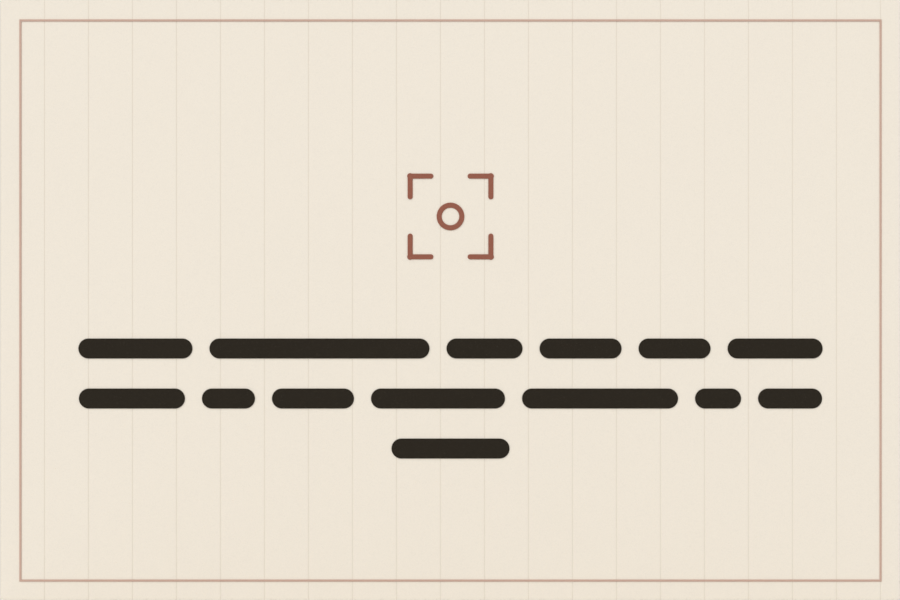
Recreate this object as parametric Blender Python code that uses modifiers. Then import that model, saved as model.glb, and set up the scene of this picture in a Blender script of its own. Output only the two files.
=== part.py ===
"""Title board: a landscape foam-core display board that hangs flat on a wall.

A cream card face, scored with fine upright lines, and a plain liner sandwich a
foam core. Shapes cut from thin card stand on the face: a mitred border, a
focus-frame sign of four corner brackets and a ring, and three centred lines of
plain bars with round ends.

Metres, +Z up. The face looks along -Y and +X is to its right. The origin is the
middle of the flat back, where the board meets the wall.
"""

import math

import bpy

MM = 0.001

# The board and its three layers
BOARD_WIDTH = 900 * MM
BOARD_HEIGHT = 600 * MM
BOARD_DEPTH = 10 * MM
FACE_THICKNESS = 1.0 * MM
LINER_THICKNESS = 0.6 * MM
CARD_THICKNESS = 0.5 * MM
GAP = 0.3 * MM  # left between pieces that touch

# Lines scored into the face, counted from its left edge
SCORE_PITCH = 44 * MM
SCORE_WIDTH = 1.0 * MM
SCORE_DEPTH = 0.3 * MM

# The layout, all that stands on the face, is set a hair right of the board's middle and below it
LAYOUT_RIGHT = 0.5 * MM
LAYOUT_UP = -0.5 * MM

# Border, whose strips run along a frame this far inside a board-sized one
BORDER_INSET = 20 * MM
BORDER_WIDTH = 2 * MM

# Focus-frame sign, measured along the middle of its strokes
SIGN_HEIGHT = 84 * MM  # of its middle, above the layout's middle
SIGN_SIDE = 80.7 * MM
SIGN_STROKE = 5.1 * MM
BEND_DIAMETER = 6.0 * MM  # of the dot at each bracket's bend
BRACKET_ARM = 20.7 * MM
RING_DIAMETER = 22.6 * MM

# Bars, line by line from the top: their lengths, in millimetres
BAR_LENGTHS = (
    (114, 220, 76, 82, 72, 95),
    (106, 53, 82, 134, 156, 46, 64),
    (118,),
)
BAR_HEIGHT = 20 * MM
BAR_GAP = 17 * MM
LINE_PITCH = 50 * MM
FIRST_LINE_HEIGHT = -48 * MM  # of its middle, above the layout's middle

CAP_STEPS = 12  # straight edges in a half-round end
RING_STEPS = 48

# Colour, roughness
CREAM_CARD = ((0.864, 0.793, 0.686), 0.85)
WHITE_FOAM = ((0.860, 0.855, 0.830), 0.75)
WHITE_LINER = ((0.850, 0.835, 0.790), 0.60)
ROSE_CARD = ((0.571, 0.386, 0.310), 0.85)
TERRACOTTA_CARD = ((0.293, 0.107, 0.071), 0.85)
DARK_CARD = ((0.023, 0.018, 0.012), 0.85)


def clear_scene():
    for obj in list(bpy.data.objects):
        bpy.data.objects.remove(obj)


def new_collection(name):
    collection = bpy.data.collections.new(name)
    bpy.context.scene.collection.children.link(collection)
    return collection


def place_in(obj, collection):
    for old in list(obj.users_collection):
        old.objects.unlink(obj)
    collection.objects.link(obj)


def finish(obj, look):
    """Give a piece a material of its own, in the look's colour and roughness."""
    colour, roughness = look
    material = bpy.data.materials.new(obj.name)
    material.use_nodes = True
    shader = material.node_tree.nodes["Principled BSDF"]
    shader.inputs["Base Color"].default_value = (*colour, 1)
    shader.inputs["Roughness"].default_value = roughness
    shader.inputs["Metallic"].default_value = 0
    obj.data.materials.append(material)


def box(name, size, centre, collection):
    bpy.ops.mesh.primitive_cube_add(size=1, location=centre, scale=size)
    obj = bpy.context.object
    bpy.ops.object.transform_apply(location=False, rotation=False, scale=True)
    obj.name = name
    place_in(obj, collection)
    return obj


def arc(centre, radius, start, end, steps):
    """Points round a centre, from one angle to another, in degrees."""
    angles = [math.radians(start + (end - start) * step / steps) for step in range(steps + 1)]
    return [(centre[0] + radius * math.cos(a), centre[1] + radius * math.sin(a)) for a in angles]


def cut_card(name, outlines, x, z, look, collection, turn=0):
    """A card shape on the face, placed from the layout's middle and turned clockwise.

    Each outline is a closed loop of points across and up the face; a second
    loop inside the first is a hole.
    """
    curve = bpy.data.curves.new(name, "CURVE")
    curve.dimensions = "2D"
    curve.fill_mode = "BOTH"
    curve.extrude = CARD_THICKNESS / 2
    for outline in outlines:
        spline = curve.splines.new("POLY")
        spline.points.add(len(outline) - 1)
        spline.use_cyclic_u = True
        for point, (across, up) in zip(spline.points, outline):
            point.co = (across, up, 0, 1)
    obj = bpy.data.objects.new(name, curve)
    middle_depth = BOARD_DEPTH + GAP + CARD_THICKNESS / 2
    obj.location = (LAYOUT_RIGHT + x, -middle_depth, LAYOUT_UP + z)
    obj.rotation_euler = (math.radians(90), math.radians(turn), 0)
    collection.objects.link(obj)
    finish(obj, look)


def add_layers(parts, cutters):
    """The liner, the core and the face, from the wall outwards, with a small gap between them."""
    core_thickness = BOARD_DEPTH - FACE_THICKNESS - LINER_THICKNESS - 2 * GAP
    layers = (
        ("back_liner", LINER_THICKNESS, WHITE_LINER),
        ("foam_core", core_thickness, WHITE_FOAM),
        ("face_sheet", FACE_THICKNESS, CREAM_CARD),
    )
    back = 0
    for name, thickness, look in layers:
        size = (BOARD_WIDTH, thickness, BOARD_HEIGHT)
        layer = box(name, size, (0, back - thickness / 2, 0), parts)
        finish(layer, look)
        back -= thickness + GAP
    score_face(parts.objects["face_sheet"], cutters)


def score_face(face_sheet, cutters):
    """Fine upright grooves across the whole face, the first along its left edge."""
    reach = 2 * SCORE_DEPTH  # the blades are deeper than the grooves
    size = (SCORE_WIDTH, reach, BOARD_HEIGHT + 2 * reach)
    first = -BOARD_WIDTH / 2 + SCORE_WIDTH / 2
    blades = box("score_blades", size, (first, -BOARD_DEPTH + SCORE_DEPTH - reach / 2, 0), cutters)
    blades.hide_render = True
    blades.display_type = "WIRE"
    row = blades.modifiers.new("row", "ARRAY")
    row.count = int(BOARD_WIDTH / SCORE_PITCH) + 1
    row.use_relative_offset = False
    row.use_constant_offset = True
    row.constant_offset_displace = (SCORE_PITCH, 0, 0)

    grooves = face_sheet.modifiers.new("grooves", "BOOLEAN")
    grooves.operation = "DIFFERENCE"
    grooves.solver = "EXACT"
    grooves.object = blades


def add_border(parts):
    """Four strips, mitred at the corners with a small gap in each mitre."""
    width = BOARD_WIDTH - 2 * BORDER_INSET
    height = BOARD_HEIGHT - 2 * BORDER_INSET
    strips = (
        ("border_top", width, 0, height / 2, 0),
        ("border_right", height, width / 2, 0, 90),
        ("border_bottom", width, 0, -height / 2, 180),
        ("border_left", height, -width / 2, 0, 270),
    )
    half = BORDER_WIDTH / 2
    ease = GAP / math.sqrt(2)
    for name, span, x, z, turn in strips:
        outer = span / 2 + half - ease
        inner = span / 2 - half - ease
        outline = ((-inner, -half), (inner, -half), (outer, half), (-outer, half))
        cut_card(name, [outline], x, z, ROSE_CARD, parts, turn)


def add_focus_sign(parts):
    """Four brackets round a ring, all one stroke wide, with round ends and a dot at each bend."""
    half = SIGN_STROKE / 2
    bend = BEND_DIAMETER / 2
    meets = math.degrees(math.asin(half / bend))  # where the dot meets the edges of the arms
    bracket = (
        [(half, -half)]
        + arc((BRACKET_ARM, 0), half, -90, 90, CAP_STEPS)
        + arc((0, 0), bend, meets, 270 - meets, CAP_STEPS)
        + arc((0, -BRACKET_ARM), half, 180, 360, CAP_STEPS)
    )
    reach = SIGN_SIDE / 2
    corners = (
        ("bracket_top_left", -reach, reach, 0),
        ("bracket_top_right", reach, reach, 90),
        ("bracket_bottom_right", reach, -reach, 180),
        ("bracket_bottom_left", -reach, -reach, 270),
    )
    for name, x, z, turn in corners:
        cut_card(name, [bracket], x, SIGN_HEIGHT + z, TERRACOTTA_CARD, parts, turn)

    outer = arc((0, 0), RING_DIAMETER / 2 + half, 0, 360, RING_STEPS)[:-1]
    inner = arc((0, 0), RING_DIAMETER / 2 - half, 0, 360, RING_STEPS)[:-1]
    cut_card("focus_ring", [outer, inner], 0, SIGN_HEIGHT, TERRACOTTA_CARD, parts)


def add_bars(parts):
    """Lines of bars, each centred in the layout."""
    for line, lengths in enumerate(BAR_LENGTHS):
        lengths = [length * MM for length in lengths]
        left = -(sum(lengths) + BAR_GAP * (len(lengths) - 1)) / 2
        height = FIRST_LINE_HEIGHT - line * LINE_PITCH
        for number, length in enumerate(lengths):
            end = (length - BAR_HEIGHT) / 2
            outline = arc((end, 0), BAR_HEIGHT / 2, -90, 90, CAP_STEPS)
            outline += arc((-end, 0), BAR_HEIGHT / 2, 90, 270, CAP_STEPS)
            name = f"line_{line + 1}_bar_{number + 1}"
            cut_card(name, [outline], left + length / 2, height, DARK_CARD, parts)
            left += length + BAR_GAP


def main():
    clear_scene()
    parts = new_collection("title_board")
    cutters = new_collection("cutters")
    add_layers(parts, cutters)
    add_border(parts)
    add_focus_sign(parts)
    add_bars(parts)


main()
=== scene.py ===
"""The finished title board: foam core, a scored cream face, and shapes cut from card.

Metres, +Z up. The face looks along -Y, +X is to its right, and the flat back is at Y = 0.
"""

import math

import bmesh
import bpy
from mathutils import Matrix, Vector


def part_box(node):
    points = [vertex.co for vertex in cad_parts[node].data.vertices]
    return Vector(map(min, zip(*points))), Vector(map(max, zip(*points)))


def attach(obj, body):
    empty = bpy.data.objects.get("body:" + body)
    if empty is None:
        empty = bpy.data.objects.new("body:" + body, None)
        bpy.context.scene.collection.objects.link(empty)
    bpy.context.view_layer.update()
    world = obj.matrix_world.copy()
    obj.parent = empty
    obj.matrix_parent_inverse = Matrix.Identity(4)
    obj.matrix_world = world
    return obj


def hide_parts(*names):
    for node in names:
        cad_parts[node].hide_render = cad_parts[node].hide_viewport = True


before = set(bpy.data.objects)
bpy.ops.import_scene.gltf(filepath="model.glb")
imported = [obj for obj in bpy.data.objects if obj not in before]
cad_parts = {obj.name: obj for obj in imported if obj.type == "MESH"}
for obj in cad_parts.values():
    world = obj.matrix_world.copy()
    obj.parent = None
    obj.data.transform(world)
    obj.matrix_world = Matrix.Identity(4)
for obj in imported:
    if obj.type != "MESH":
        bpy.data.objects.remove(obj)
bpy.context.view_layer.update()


# Foam core
# The body of the board, a slab of extruded foam glued between two sheets. It is cut with a long
# knife, so its rim shows opened cells, pulled in a little where the blade dragged the middle.

MM = 0.001
TOUCHING = 0.01 * MM  # nearer than this, two places count as one
ALIGNED = 0.99  # how much of a direction lies along an axis that it follows
CRISP_ANGLE = 35  # degrees, past which the edge between two faces isn't smoothed
X, Y, Z = range(3)

BOARD_CORNER = 1.2 * MM  # the corners of every layer are a little blunted
CORNER_CUTS = 4
RIM_CUTS = 20  # made twice over, along each side
RIM_ROWS = 6  # through the thickness
RIM_DRAG = 0.35 * MM
CELL_DENT = 0.3 * MM
DENT_SIZE = 2.4 * MM
CELL_SIZE = 0.55 * MM
CELL_PIT = 0.12 * MM
PIT_FLOOR = 0.15  # in cells, from the middle of one to where its pit starts to rise
PIT_BRIM = 0.55  # and to where the pit ends
DRAG_STREAKS = (14, 700, 14)  # to the metre, along each axis
DRAG_RANGE = (0.35, 0.65)  # of the streaks' noise, from dragged shut to torn open
DRAGGED_PITS = 0.25  # what is left of the pits where they are dragged shut
FOAM_WHITE = (0.88, 0.875, 0.85, 1)
# the colour of the painted shade in the foam's cell pits
FOAM_PIT_SHADE = (0.50, 0.49, 0.46, 1)


def pick(piece, kind, wanted):
    """Select the vertices, edges or faces that a test wants."""
    bpy.ops.mesh.select_mode(type=kind)
    bpy.ops.mesh.select_all(action="DESELECT")
    mesh = bmesh.from_edit_mesh(piece.data)
    elements = {"VERT": mesh.verts, "EDGE": mesh.edges, "FACE": mesh.faces}[kind]
    for element in elements:
        if wanted(element):
            element.select_set(True)
    bmesh.update_edit_mesh(piece.data)


def runs(edge, axis):
    """Whether an edge follows an axis."""
    start, end = (vertex.co for vertex in edge.verts)
    return abs((end - start).normalized()[axis]) > ALIGNED


def same_place(first, second):
    """Whether two places along an axis count as one."""
    return abs(first - second) < TOUCHING


def new_block(name, low, high):
    """A block between two corners, left open in edit mode."""
    bpy.ops.object.select_all(action="DESELECT")
    bpy.ops.mesh.primitive_cube_add(size=1, location=(low + high) / 2, scale=high - low)
    block = bpy.context.object
    block.name = name
    bpy.ops.object.transform_apply(location=True, rotation=False, scale=True)
    bpy.ops.object.mode_set(mode="EDIT")
    return block


def new_slab(name, low, high):
    """A layer of the board with blunted corners, left open in edit mode."""
    slab = new_block(name, low, high)
    pick(slab, "EDGE", lambda edge: runs(edge, Y))
    bpy.ops.mesh.bevel(offset=BOARD_CORNER, segments=CORNER_CUTS, affect="EDGES")
    return slab


def merge_meeting():
    """Merge the vertices that meet, and leave the whole piece selected."""
    bpy.ops.mesh.select_all(action="SELECT")
    bpy.ops.mesh.remove_doubles(threshold=TOUCHING)


def leave_edit():
    """Go back to object mode, and shade by angle."""
    bpy.ops.object.mode_set(mode="OBJECT")
    bpy.ops.object.shade_smooth_by_angle(angle=math.radians(CRISP_ANGLE))


def close_edit():
    """Merge what meets, turn the faces outwards and leave edit mode."""
    merge_meeting()
    bpy.ops.mesh.normals_make_consistent(inside=False)
    leave_edit()


def wire(tree, kind, inputs, **settings):
    """Add a shader node. Each input takes a value or another node's socket."""
    made = tree.nodes.new(kind)
    for name, value in settings.items():
        setattr(made, name, value)
    for name, value in inputs.items():
        if isinstance(value, bpy.types.NodeSocket):
            tree.links.new(value, made.inputs[name])
        else:
            made.inputs[name].default_value = value
    return made


def calculate(tree, operation, *values):
    """The result of a Math node, from values and other nodes' sockets."""
    made = wire(tree, "ShaderNodeMath", dict(enumerate(values)), operation=operation)
    return made.outputs["Value"]


def remap(tree, value, start, end, first, last, curve="LINEAR"):
    """Turn a range of values into another, held level past both ends."""
    made = wire(
        tree,
        "ShaderNodeMapRange",
        {"Value": value, "From Min": start, "From Max": end, "To Min": first, "To Max": last},
        interpolation_type=curve,
    )
    return made.outputs["Result"]


def mottle(tree, place, scale, detail):
    """Smooth noise, from 0 to 1 and mostly about a half."""
    made = wire(tree, "ShaderNodeTexNoise", {"Vector": place, "Scale": scale, "Detail": detail})
    return made.outputs["Fac"]


def blend_colours(tree, share, first, second):
    """Mix two colours. The Mix node repeats its sockets' names, so they go by number here."""
    made = wire(tree, "ShaderNodeMix", {0: share, 6: first, 7: second}, data_type="RGBA")
    return made.outputs[2]


def new_finish(name, roughness, specular):
    """A material, with its tree, its shader and the piece's own coordinates."""
    material = bpy.data.materials.new(name)
    material.use_nodes = True
    tree = material.node_tree
    shader = tree.nodes["Principled BSDF"]
    shader.inputs["Roughness"].default_value = roughness
    shader.inputs["Specular IOR Level"].default_value = specular
    place = wire(tree, "ShaderNodeTexCoord", {}).outputs["Object"]
    return material, tree, shader, place


def raise_bump(tree, shader, height, depth):
    """Roughen a finish by a height, whose step from 0 to 1 is this deep."""
    bump = wire(tree, "ShaderNodeBump", {"Height": height, "Distance": depth, "Strength": 1.0})
    tree.links.new(bump.outputs["Normal"], shader.inputs["Normal"])


def new_foam_finish():
    """Small cells with painted shade in their pits, wide open where the blade tore them and
    fainter where it dragged them shut.
    """
    material, tree, shader, place = new_finish("cut_foam", roughness=0.75, specular=0.3)
    cells = wire(tree, "ShaderNodeTexVoronoi", {"Vector": place, "Scale": 1 / CELL_SIZE})
    pits = remap(tree, cells.outputs["Distance"], PIT_FLOOR, PIT_BRIM, 1.0, 0.0)
    streaks = wire(tree, "ShaderNodeMapping", {"Vector": place, "Scale": DRAG_STREAKS})
    drag = mottle(tree, streaks.outputs["Vector"], scale=1.0, detail=3.0)
    torn = remap(tree, drag, *DRAG_RANGE, DRAGGED_PITS, 1.0)
    # One mask both dents the pits and darkens them with painted shade
    pit_relief_and_shade = calculate(tree, "MULTIPLY", pits, torn)
    colour = blend_colours(tree, pit_relief_and_shade, FOAM_WHITE, FOAM_PIT_SHADE)
    tree.links.new(colour, shader.inputs["Base Color"])
    raise_bump(tree, shader, calculate(tree, "SUBTRACT", 1.0, pit_relief_and_shade), CELL_PIT)
    return material


def fit(piece, node, finish):
    """Set a finished piece on the board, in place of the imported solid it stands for.

    The broad faces first take their shading back from the eased edges beside them.
    """
    weigh = piece.modifiers.new("weigh", "WEIGHTED_NORMAL")
    weigh.keep_sharp = True
    bpy.ops.object.modifier_apply(modifier=weigh.name)
    piece.data.materials.clear()
    piece.data.materials.append(finish)
    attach(piece, "root")
    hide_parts(node)


core_low, core_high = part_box("foam_core")
core_low.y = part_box("face_sheet")[1].y
core_high.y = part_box("back_liner")[0].y
core = new_slab("foam_slab", core_low, core_high)

# The two hidden faces come off while the rim is divided into a fine band and dented
pick(core, "FACE", lambda face: abs(face.normal.y) > ALIGNED)
bpy.ops.mesh.delete(type="ONLY_FACE")
for _ in range(2):
    pick(core, "EDGE", lambda edge: runs(edge, X) or runs(edge, Z))
    bpy.ops.mesh.subdivide(number_cuts=RIM_CUTS)
pick(core, "EDGE", lambda edge: runs(edge, Y))
bpy.ops.mesh.subdivide(number_cuts=RIM_ROWS - 1)

# The drag is greatest in the middle of the rim, and dies away to nothing at the two sheets
for row in range(1, RIM_ROWS):
    across = row / RIM_ROWS
    level = core_low.y + across * (core_high.y - core_low.y)
    pick(core, "VERT", lambda vertex: same_place(vertex.co.y, level))
    bpy.ops.transform.shrink_fatten(value=-RIM_DRAG * 4 * across * (1 - across))
bpy.ops.object.mode_set(mode="OBJECT")

opened_cells = core.vertex_groups.new(name="opened_cells")
inside_rim = [
    vertex.index
    for vertex in core.data.vertices
    if core_low.y + TOUCHING < vertex.co.y < core_high.y - TOUCHING
]
opened_cells.add(inside_rim, 1.0, "REPLACE")
dents = bpy.data.textures.new("foam_dents", "CLOUDS")
dents.noise_scale = DENT_SIZE
dents.noise_depth = 2
dent = core.modifiers.new("dent", "DISPLACE")
dent.texture = dents
dent.vertex_group = opened_cells.name
dent.mid_level = 1.0
dent.strength = CELL_DENT
bpy.ops.object.modifier_apply(modifier=dent.name)

bpy.ops.object.mode_set(mode="EDIT")
for level in (core_low.y, core_high.y):
    pick(core, "EDGE", lambda edge: edge.is_boundary and same_place(edge.verts[0].co.y, level))
    bpy.ops.mesh.edge_face_add()
close_edit()
fit(core, "foam_core", new_foam_finish())


# Back liner
# A smooth sheet of white paper glued over the back of the foam. It is what rests on the wall, so
# it is flat, with a little scuffing towards its rim from being stood and slid on its edges.

RIM_EASE = 0.12 * MM
EASE_CUTS = 2
EASE_ANGLE = 60  # degrees, past which an edge is eased
FIBRE_WIDTH = 0.35 * MM
FIBRE_STRETCH = 6  # how many times longer than wide
FIBRE_TURNS = (15, 75, 130)  # the ways that they lie, in degrees
FIBRE_TOOTH = 0.16 * MM
FLECK_RANGE = (0.58, 0.66)  # of the fibres' relief, from where a fleck starts to where it is full
CLOUDS = 9  # to the metre
WEAR_SPECK = 2.2 * MM
WEAR_RANGE = (0.5, 0.7)  # of the specks' noise, from unworn to worn
LINER_WEAR = 6 * MM  # how far it reaches in from the rim
LINER_WHITE = (0.85, 0.835, 0.79, 1)
LINER_FLECK = (0.74, 0.72, 0.67, 1)
LINER_SCUFF = (0.66, 0.645, 0.60, 1)


def ease_rim(piece):
    """Take the sharpness off the edges left by the knife."""
    ease = piece.modifiers.new("ease", "BEVEL")
    ease.width = RIM_EASE
    ease.segments = EASE_CUTS
    ease.limit_method = "ANGLE"
    ease.angle_limit = math.radians(EASE_ANGLE)
    bpy.ops.object.modifier_apply(modifier=ease.name)


def new_effect(name, inputs, outputs):
    """An empty shader node group, with the sockets it reads and the sockets it fills."""
    tree = bpy.data.node_groups.new(name, "ShaderNodeTree")
    for socket, kind in inputs.items():
        tree.interface.new_socket(name=socket, in_out="INPUT", socket_type=kind)
    for socket, kind in outputs.items():
        tree.interface.new_socket(name=socket, in_out="OUTPUT", socket_type=kind)
    return tree, tree.nodes.new("NodeGroupInput").outputs, tree.nodes.new("NodeGroupOutput").inputs


def use_effect(tree, effect, **inputs):
    """Place a node group in a material with values of its own, and give its outputs."""
    return wire(tree, "ShaderNodeGroup", inputs, node_tree=effect).outputs


def sway(tree, level, noise, strength):
    """Lift and lower a level by a noise that lies about a half."""
    swing = calculate(tree, "SUBTRACT", noise, 0.5)
    return calculate(tree, "MULTIPLY_ADD", swing, strength, level)


def new_card_fibre():
    """Matted fibres with the odd fleck among them, and soft clouding, as in any paper or card."""
    tree, given, result = new_effect(
        "card_fibre",
        {"Place": "NodeSocketVector", "Clouding": "NodeSocketFloat", "Fibre": "NodeSocketFloat"},
        {"Shade": "NodeSocketFloat", "Relief": "NodeSocketFloat", "Fleck": "NodeSocketFloat"},
    )
    relief = 0.0
    for turn in FIBRE_TURNS:
        lie = {
            "Vector": given["Place"],
            "Rotation": (0, math.radians(turn), 0),
            "Scale": (FIBRE_STRETCH, 1, 1),
        }
        laid = wire(tree, "ShaderNodeMapping", lie, vector_type="TEXTURE").outputs["Vector"]
        strands = mottle(tree, laid, 1 / FIBRE_WIDTH, detail=2.0)
        relief = calculate(tree, "MULTIPLY_ADD", strands, 1 / len(FIBRE_TURNS), relief)
    clouds = mottle(tree, given["Place"], CLOUDS, detail=3.0)
    shade = sway(tree, 1.0, relief, given["Fibre"])
    tree.links.new(sway(tree, shade, clouds, given["Clouding"]), result["Shade"])
    tree.links.new(relief, result["Relief"])
    tree.links.new(remap(tree, relief, *FLECK_RANGE, 0.0, 1.0), result["Fleck"])
    return tree


def new_rim_wear():
    """Speckled wear that fades in from the rim of the board."""
    tree, given, result = new_effect(
        "rim_wear",
        {"Place": "NodeSocketVector", "Reach": "NodeSocketFloat"},
        {"Worn": "NodeSocketFloat"},
    )
    axes = wire(tree, "ShaderNodeSeparateXYZ", {"Vector": given["Place"]}).outputs
    to_side = calculate(tree, "SUBTRACT", core_high.x, calculate(tree, "ABSOLUTE", axes["X"]))
    to_end = calculate(tree, "SUBTRACT", core_high.z, calculate(tree, "ABSOLUTE", axes["Z"]))
    nearest = calculate(tree, "MINIMUM", to_side, to_end)
    close = remap(tree, nearest, 0.0, given["Reach"], 1.0, 0.0, "SMOOTHSTEP")
    specks = mottle(tree, given["Place"], 1 / WEAR_SPECK, detail=5.0)
    patch = remap(tree, specks, *WEAR_RANGE, 0.0, 1.0)
    tree.links.new(calculate(tree, "MULTIPLY", close, patch), result["Worn"])
    return tree


def lay_grain(tree, shader, grain, colour, tooth):
    """Give a finish its colour, shaded by the grain, and the tooth of its fibres."""
    shaded = wire(tree, "ShaderNodeHueSaturation", {"Color": colour, "Value": grain["Shade"]})
    tree.links.new(shaded.outputs["Color"], shader.inputs["Base Color"])
    raise_bump(tree, shader, grain["Relief"], tooth)


card_fibre = new_card_fibre()
rim_wear = new_rim_wear()


def new_liner_finish():
    """White paper with a fine tooth, scuffed in specks along the rim of the board."""
    material, tree, shader, place = new_finish("back_paper", roughness=0.6, specular=0.35)
    grain = use_effect(tree, card_fibre, Place=place, Clouding=0.07, Fibre=0.25)
    wear = use_effect(tree, rim_wear, Place=place, Reach=LINER_WEAR)
    flecked = blend_colours(tree, grain["Fleck"], LINER_WHITE, LINER_FLECK)
    worn = blend_colours(tree, wear["Worn"], flecked, LINER_SCUFF)
    lay_grain(tree, shader, grain, worn, FIBRE_TOOTH / 2)
    return material


liner_low, liner_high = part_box("back_liner")
liner = new_slab("liner_paper", liner_low, liner_high)
close_edit()
ease_rim(liner)
fit(liner, "back_liner", new_liner_finish())


# Face card
# A sheet of uncoated cream card, ruled with a creasing wheel before it is glued down. Each score
# is a shallow valley darkened with painted shade, and the first runs off the edge.

SCORE_PITCH = 44 * MM
SCORE_WIDTH = 1.0 * MM
SCORE_DEPTH = 0.3 * MM
SCORE_STEPS = 6  # across each valley
# The painted shade along each score: full this near its middle, and gone this far out
SCORE_SHADE_FULL = 0.35 * MM  # either side of the middle of a score
SCORE_SHADE_REACH = 0.6 * MM  # where its darker shade ends
FACE_WEAR = 2.5 * MM  # how far it reaches in from the rim
CREAM = (0.864, 0.793, 0.686, 1)
CREAM_FLECK = (0.76, 0.67, 0.54, 1)
# the colour of the painted shade along the scores
CREAM_SCORE_SHADE = (0.790, 0.718, 0.615, 1)
CREAM_SOILED = (0.79, 0.72, 0.61, 1)

face_low, face_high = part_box("face_sheet")


def pressed_depth(x):
    """How deep the card is pressed at a place across it: a rounded valley at each score."""
    from_edge = x - face_low.x
    if from_edge < SCORE_WIDTH / 2:
        return SCORE_DEPTH
    across = from_edge % SCORE_PITCH / SCORE_WIDTH
    return SCORE_DEPTH * math.sin(math.pi * across) if across < 1 else 0


def new_face_finish():
    """Cream card with painted shade along each score, and a little soiled at the rim of the board.
    """
    material, tree, shader, place = new_finish("cream_card", roughness=0.85, specular=0.25)
    grain = use_effect(tree, card_fibre, Place=place, Clouding=0.012, Fibre=0.3)
    wear = use_effect(tree, rim_wear, Place=place, Reach=FACE_WEAR)
    across = wire(tree, "ShaderNodeSeparateXYZ", {"Vector": place}).outputs["X"]
    from_edge = calculate(tree, "SUBTRACT", across, face_low.x)
    in_bay = calculate(tree, "MODULO", from_edge, SCORE_PITCH)
    off_middle = calculate(tree, "SUBTRACT", in_bay, SCORE_WIDTH / 2)
    off_middle = calculate(tree, "ABSOLUTE", off_middle)
    score_shade = remap(tree, off_middle, SCORE_SHADE_FULL, SCORE_SHADE_REACH, 1.0, 0.0)
    colour = blend_colours(tree, grain["Fleck"], CREAM, CREAM_FLECK)
    # Painted shade darkens the valley of each score
    colour = blend_colours(tree, score_shade, colour, CREAM_SCORE_SHADE)
    colour = blend_colours(tree, wear["Worn"], colour, CREAM_SOILED)
    lay_grain(tree, shader, grain, colour, FIBRE_TOOTH)
    return material


face = new_slab("face_card", face_low, face_high)
close_edit()
ease_rim(face)
bpy.ops.object.mode_set(mode="EDIT")
for score in range(math.ceil((face_high.x - face_low.x) / SCORE_PITCH)):
    for step in range(SCORE_STEPS + 1):
        ruled = face_low.x + score * SCORE_PITCH + step / SCORE_STEPS * SCORE_WIDTH
        bpy.ops.mesh.select_all(action="SELECT")
        bpy.ops.mesh.bisect(plane_co=(ruled, 0, 0), plane_no=(1, 0, 0))
for vertex in bmesh.from_edit_mesh(face.data).verts:
    vertex.co.y = max(vertex.co.y, face_low.y + pressed_depth(vertex.co.x))
bmesh.update_edit_mesh(face.data)
close_edit()
fit(face, "face_sheet", new_face_finish())


# Border
# A hairline frame of rose-brown card, four strips mitred at the corners. Like every shape on the
# face they are cut with a knife and stuck on a film of tape that stops just short of their edges.

TAPE_INSET = 0.4 * MM
MITRE_JOINT = 0.03 * MM  # taken off each end of a strip
SIDE_FACING = 0.5  # the most that a side of a shape faces forwards or back
ROSE = (0.571, 0.386, 0.310, 1)
ROSE_PALE = (0.63, 0.46, 0.39, 1)


def tape_down(piece):
    """Inset the back of a shape and draw it out to the face, as its film of tape."""
    bpy.ops.object.mode_set(mode="EDIT")
    back = max(vertex.co.y for vertex in bmesh.from_edit_mesh(piece.data).verts)

    def on_back(facet):
        return facet.normal.y > ALIGNED and same_place(facet.calc_center_median().y, back)

    pick(piece, "FACE", on_back)
    bpy.ops.mesh.inset(thickness=TAPE_INSET)
    bpy.ops.mesh.extrude_region_move(TRANSFORM_OT_translate={"value": (0, face_low.y - back, 0)})
    merge_meeting()
    leave_edit()


def new_cut_edge():
    """A mask for the sides of a shape, where the knife has cut through the card."""
    tree, _, result = new_effect("cut_edge", {}, {"Cut": "NodeSocketFloat"})
    facing = wire(tree, "ShaderNodeTexCoord", {}).outputs["Normal"]
    forward = wire(tree, "ShaderNodeSeparateXYZ", {"Vector": facing}).outputs["Y"]
    cut = calculate(tree, "LESS_THAN", calculate(tree, "ABSOLUTE", forward), SIDE_FACING)
    tree.links.new(cut, result["Cut"])
    return tree


cut_edge = new_cut_edge()


def new_card_finish(name, colour, pale):
    """Card dyed right through, whose flecks and cut edges show a little paler."""
    material, tree, shader, place = new_finish(name, roughness=0.85, specular=0.12)
    grain = use_effect(tree, card_fibre, Place=place, Clouding=0.05, Fibre=0.5)
    edge = use_effect(tree, cut_edge)
    paler = calculate(tree, "MAXIMUM", grain["Fleck"], edge["Cut"])
    lay_grain(tree, shader, grain, blend_colours(tree, paler, colour, pale), FIBRE_TOOTH)
    return material


rose_card = new_card_finish("rose_card", ROSE, ROSE_PALE)
border_low = Vector((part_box("border_left")[0].x, 0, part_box("border_bottom")[0].z))
border_high = Vector((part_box("border_right")[1].x, 0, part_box("border_top")[1].z))
for side, axis in (("top", X), ("bottom", X), ("left", Z), ("right", Z)):
    low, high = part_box("border_" + side)
    low[axis] = border_low[axis]
    high[axis] = border_high[axis]
    strip = new_block("border_strip_" + side, low, high)

    # Each mitre runs from the end of the strip's outer edge, inwards at 45 degrees
    across = Z if axis == X else X
    outer, inward = (low, 1) if side in ("bottom", "left") else (high, -1)
    for end, away in ((low, -1), (high, 1)):
        tip = Vector((0, 0, 0))
        tip[axis] = end[axis] - away * MITRE_JOINT
        tip[across] = outer[across]
        cut_off = Vector((0, 0, 0))
        cut_off[axis] = away
        cut_off[across] = inward
        bpy.ops.mesh.select_all(action="SELECT")
        bpy.ops.mesh.bisect(plane_co=tip, plane_no=cut_off, use_fill=True, clear_outer=True)
    close_edit()
    ease_rim(strip)
    tape_down(strip)
    fit(strip, "border_" + side, rose_card)


# Focus-frame sign
# Four brackets round a ring, cut from terracotta card one stroke wide, with round ends and a dot
# a little wider than the stroke at each bend. One bracket is made, and turned for the others.

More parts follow.
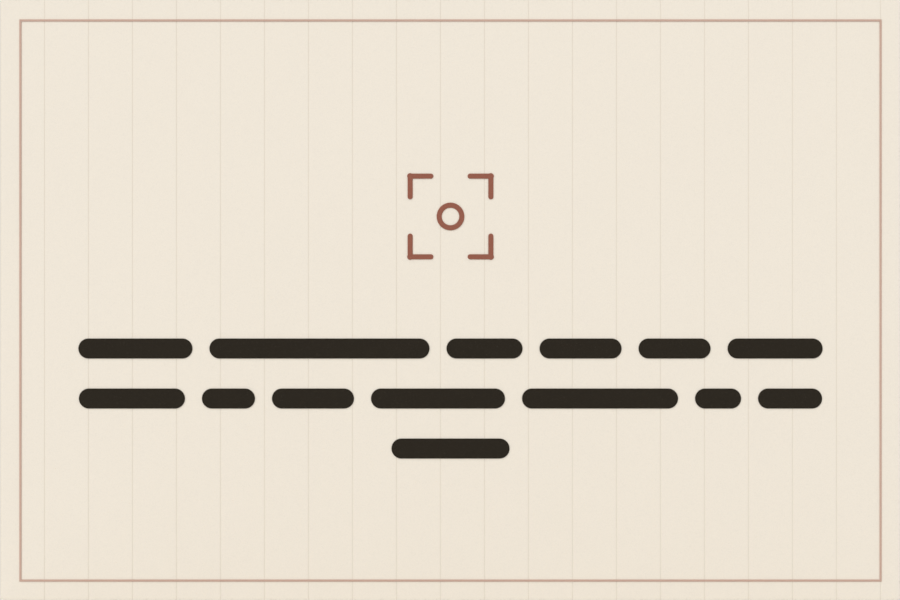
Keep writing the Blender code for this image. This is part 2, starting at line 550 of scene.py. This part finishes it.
SIGN_STROKE = 5.1 * MM
BEND_DIAMETER = 6.0 * MM
ARC_STEPS = 32  # along each round part of a bracket
RING_STEPS = 96
FLAT_ANGLE = 0.5  # degrees, under which the facets of a flat side become one
TERRACOTTA = (0.293, 0.107, 0.071, 1)
TERRACOTTA_PALE = (0.40, 0.19, 0.14, 1)

terracotta_card = new_card_finish("terracotta_card", TERRACOTTA, TERRACOTTA_PALE)
half_stroke = SIGN_STROKE / 2
half_dot = BEND_DIAMETER / 2
ring_low, ring_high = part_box("focus_ring")
sign_centre = (ring_low + ring_high) / 2
sign_depth = ring_high.y - ring_low.y
arm_low, arm_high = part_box("bracket_top_left")
bend = Vector((arm_low.x + half_dot, sign_centre.y, arm_high.z - half_dot))


def take_up(piece):
    """Select one object, and only that one, and make it active."""
    bpy.ops.object.select_all(action="DESELECT")
    piece.select_set(True)
    bpy.context.view_layer.objects.active = piece


def arc(centre, radius, start, end):
    """Points round a centre, from one angle to another, in degrees."""
    points = []
    for step in range(ARC_STEPS + 1):
        angle = math.radians(start + (end - start) * step / ARC_STEPS)
        right = centre[0] + radius * math.cos(angle)
        up = centre[1] + radius * math.sin(angle)
        points.append((right, up))
    return points


# The outline is drawn round the bend, with X across and Y up, and is stood up once it is a mesh
meets = math.degrees(math.asin(half_stroke / half_dot))  # where the dot and the arms' edges meet
arm = arm_high.x - half_stroke - bend.x  # from the bend to the middle of its round end
outline = [(half_stroke, -half_stroke)]
outline += arc((arm, 0), half_stroke, -90, 90)
outline += arc((0, 0), half_dot, meets, 270 - meets)
outline += arc((0, -arm), half_stroke, 180, 360)
blank = bpy.data.curves.new("sign_bracket", "CURVE")
blank.dimensions = "2D"
blank.fill_mode = "BOTH"
blank.extrude = sign_depth / 2
loop = blank.splines.new("POLY")
loop.points.add(len(outline) - 1)
loop.use_cyclic_u = True
for point, (right, up) in zip(loop.points, outline):
    point.co = (right, up, 0, 1)
bracket = bpy.data.objects.new("sign_bracket", blank)
bpy.context.scene.collection.objects.link(bracket)
take_up(bracket)
bpy.ops.object.convert(target="MESH")
bracket.location = bend
bracket.rotation_euler = (math.radians(90), 0, 0)
bpy.ops.object.transform_apply(location=True, rotation=True, scale=False)
bpy.ops.object.mode_set(mode="EDIT")
merge_meeting()
bpy.ops.mesh.dissolve_limited(angle_limit=math.radians(FLAT_ANGLE))
close_edit()
ease_rim(bracket)
tape_down(bracket)
bpy.context.scene.cursor.location = sign_centre
bpy.ops.object.origin_set(type="ORIGIN_CURSOR")

corners = ("top_left", "top_right", "bottom_right", "bottom_left")
turned = [bracket]
for _ in corners[1:]:
    again = bracket.copy()
    again.data = bracket.data.copy()
    bpy.context.scene.collection.objects.link(again)
    turned.append(again)
for quarter, (corner, piece) in enumerate(zip(corners, turned)):
    piece.name = "sign_bracket_" + corner
    piece.rotation_euler = (0, math.radians(90 * quarter), 0)
    take_up(piece)
    bpy.ops.object.transform_apply(location=True, rotation=True, scale=False)
    fit(piece, "bracket_" + corner, terracotta_card)

# The ring is the section of one stroke, swept round the middle of the sign
section = Vector((ring_high.x - half_stroke, sign_centre.y, sign_centre.z))
bpy.ops.object.select_all(action="DESELECT")
bpy.ops.mesh.primitive_plane_add(size=1, location=section)
ring = bpy.context.object
ring.name = "sign_ring"
ring.scale = (SIGN_STROKE, sign_depth, 1)
bpy.ops.object.transform_apply(location=True, rotation=False, scale=True)
bpy.ops.object.mode_set(mode="EDIT")
bpy.ops.mesh.select_all(action="SELECT")
bpy.ops.mesh.delete(type="ONLY_FACE")
bpy.ops.mesh.select_all(action="SELECT")
bpy.ops.mesh.spin(steps=RING_STEPS, angle=2 * math.pi, center=sign_centre, axis=(0, 1, 0))
close_edit()
ease_rim(ring)
tape_down(ring)
fit(ring, "focus_ring", terracotta_card)


# Bars
# Plain bars of near-black card with round ends, set out in centred lines. All are cut from one
# sheet to the same height, each to its own length, and are stuck down as the other shapes are.

BAR_STEPS = 24  # to each quarter of a round end
DARK = (0.0225, 0.0175, 0.0115, 1)
DARK_PALE = (0.06, 0.05, 0.04, 1)

dark_card = new_card_finish("dark_card", DARK, DARK_PALE)
for node in sorted(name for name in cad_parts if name.startswith("line_")):
    low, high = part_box(node)
    half_height = (high.z - low.z) / 2
    bar = new_block(node + "_card", low, high)
    pick(bar, "EDGE", lambda edge: runs(edge, Y))
    bpy.ops.mesh.bevel(offset=half_height, segments=BAR_STEPS, affect="EDGES", clamp_overlap=True)
    close_edit()
    ease_rim(bar)
    tape_down(bar)
    fit(bar, node, dark_card)


# Studio
# A pale floor at the board's lower edge and soft, even light. The camera looks square on from
# where the face just fills the picture.

FLOOR_SIZE = 60.0  # metres
FLOOR_DROP = 0.2 * MM
FLOOR_PALE = (0.79, 0.79, 0.785, 1)
LENS = 85.0  # millimetres, as the sensor's width is
SENSOR = 36.0
AMBIENT = 0.732
KEY_STRENGTH = 1.07
BACK_STRENGTH = 0.35
LAMP_SPREAD = 35  # degrees across, which softens the shadows

bpy.ops.object.select_all(action="DESELECT")
bpy.ops.mesh.primitive_plane_add(size=FLOOR_SIZE, location=(0, 0, core_low.z - FLOOR_DROP))
floor = bpy.context.object
floor.name = "studio_floor"
floor_paint, _, floor_shader, _ = new_finish("floor_paint", roughness=0.9, specular=0.2)
floor_shader.inputs["Base Color"].default_value = FLOOR_PALE
floor.data.materials.append(floor_paint)

world = bpy.data.worlds.new("studio")
world.use_nodes = True
world.node_tree.nodes["Background"].inputs["Color"].default_value = (1, 1, 1, 1)
world.node_tree.nodes["Background"].inputs["Strength"].default_value = AMBIENT
bpy.context.scene.world = world

for name, strength, turn in (
    ("key_light", KEY_STRENGTH, (55, 0, -25)),
    ("back_light", BACK_STRENGTH, (-50, 0, 30)),
):
    lamp = bpy.data.lights.new(name, "SUN")
    lamp.energy = strength
    lamp.angle = math.radians(LAMP_SPREAD)
    light = bpy.data.objects.new(name, lamp)
    light.rotation_euler = [math.radians(angle) for angle in turn]
    bpy.context.scene.collection.objects.link(light)

face_width = face_high.x - face_low.x
lens = bpy.data.cameras.new("camera")
lens.lens = LENS
lens.sensor_width = SENSOR
camera = bpy.data.objects.new("camera", lens)
camera.location = (0, face_low.y - face_width * LENS / SENSOR, 0)
camera.rotation_euler = (math.radians(90), 0, 0)
bpy.context.scene.collection.objects.link(camera)
bpy.context.scene.camera = camera
bpy.context.scene.view_settings.view_transform = "Standard"
